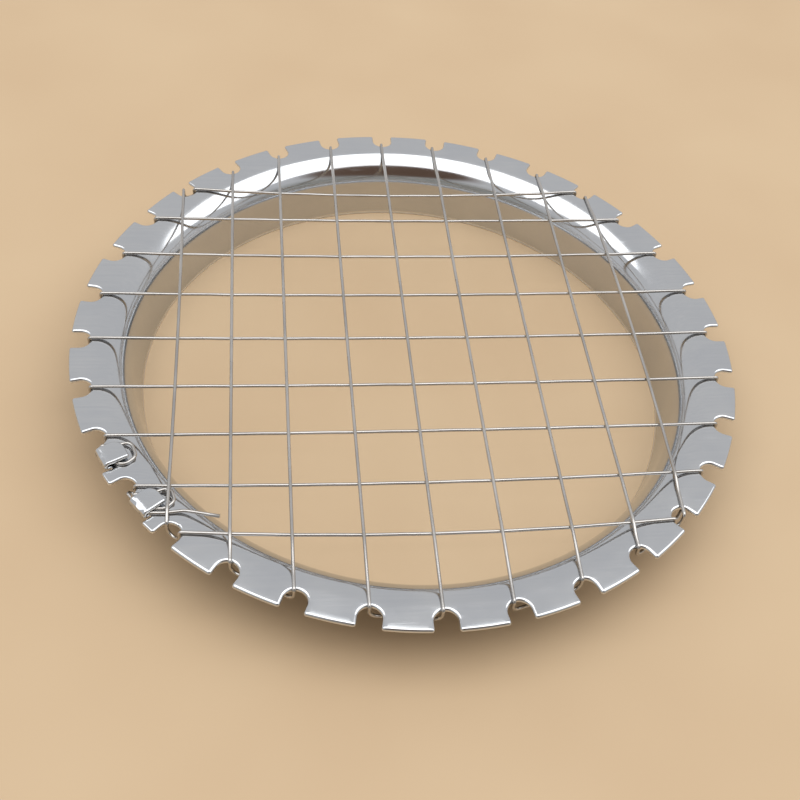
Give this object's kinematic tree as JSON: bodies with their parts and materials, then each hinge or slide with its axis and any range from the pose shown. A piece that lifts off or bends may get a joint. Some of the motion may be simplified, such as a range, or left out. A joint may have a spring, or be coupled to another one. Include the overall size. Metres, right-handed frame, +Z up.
{
  "type": "flower frog",
  "caption": "Low round flower frog: a pressed metal ring with a notched flange, strung with wire in a square grid that holds flower stems upright.",
  "frame": {"origin": "on the ring's axis, in the plane that the skirt's bottom edge stands on", "axes": "+Z up along the ring's axis; +X along the rows of wire, which run under; +Y along the columns, which run over; the two folded tongues are at -X, -Y"},
  "size_m": [0.105, 0.105, 0.0115],
  "materials": {
    "ring_sheet": "bright polished stainless sheet, pressed",
    "wire": "bright drawn stainless wire"
  },
  "bodies": {
    "root": {"pressed_ring": "ring_sheet", "wire_row_1": "wire", "wire_row_2": "wire", "wire_row_3": "wire", "wire_row_4": "wire", "wire_row_5": "wire", "wire_row_6": "wire", "wire_row_7": "wire", "wire_row_8": "wire", "wire_row_9": "wire", "wire_column_1": "wire", "wire_column_2": "wire", "wire_column_3": "wire", "wire_column_4": "wire", "wire_column_5": "wire", "wire_column_6": "wire", "wire_column_7": "wire", "wire_column_8": "wire", "wire_column_9": "wire", "wire_left_bridge_1": "wire", "wire_left_bridge_3": "wire", "wire_left_bridge_5": "wire", "wire_right_bridge_2": "wire", "wire_right_bridge_4": "wire", "wire_right_bridge_6": "wire", "wire_right_bridge_8": "wire", "wire_back_bridge_1": "wire", "wire_back_bridge_3": "wire", "wire_back_bridge_5": "wire", "wire_back_bridge_7": "wire", "wire_front_bridge_2": "wire", "wire_front_bridge_4": "wire", "wire_front_bridge_6": "wire", "wire_front_bridge_8": "wire", "wire_corner_back_right": "wire", "wire_corner_front_left": "wire", "wire_end_hook_7": "wire", "wire_end_hook_8": "wire"}
  },
  "joints": []
}
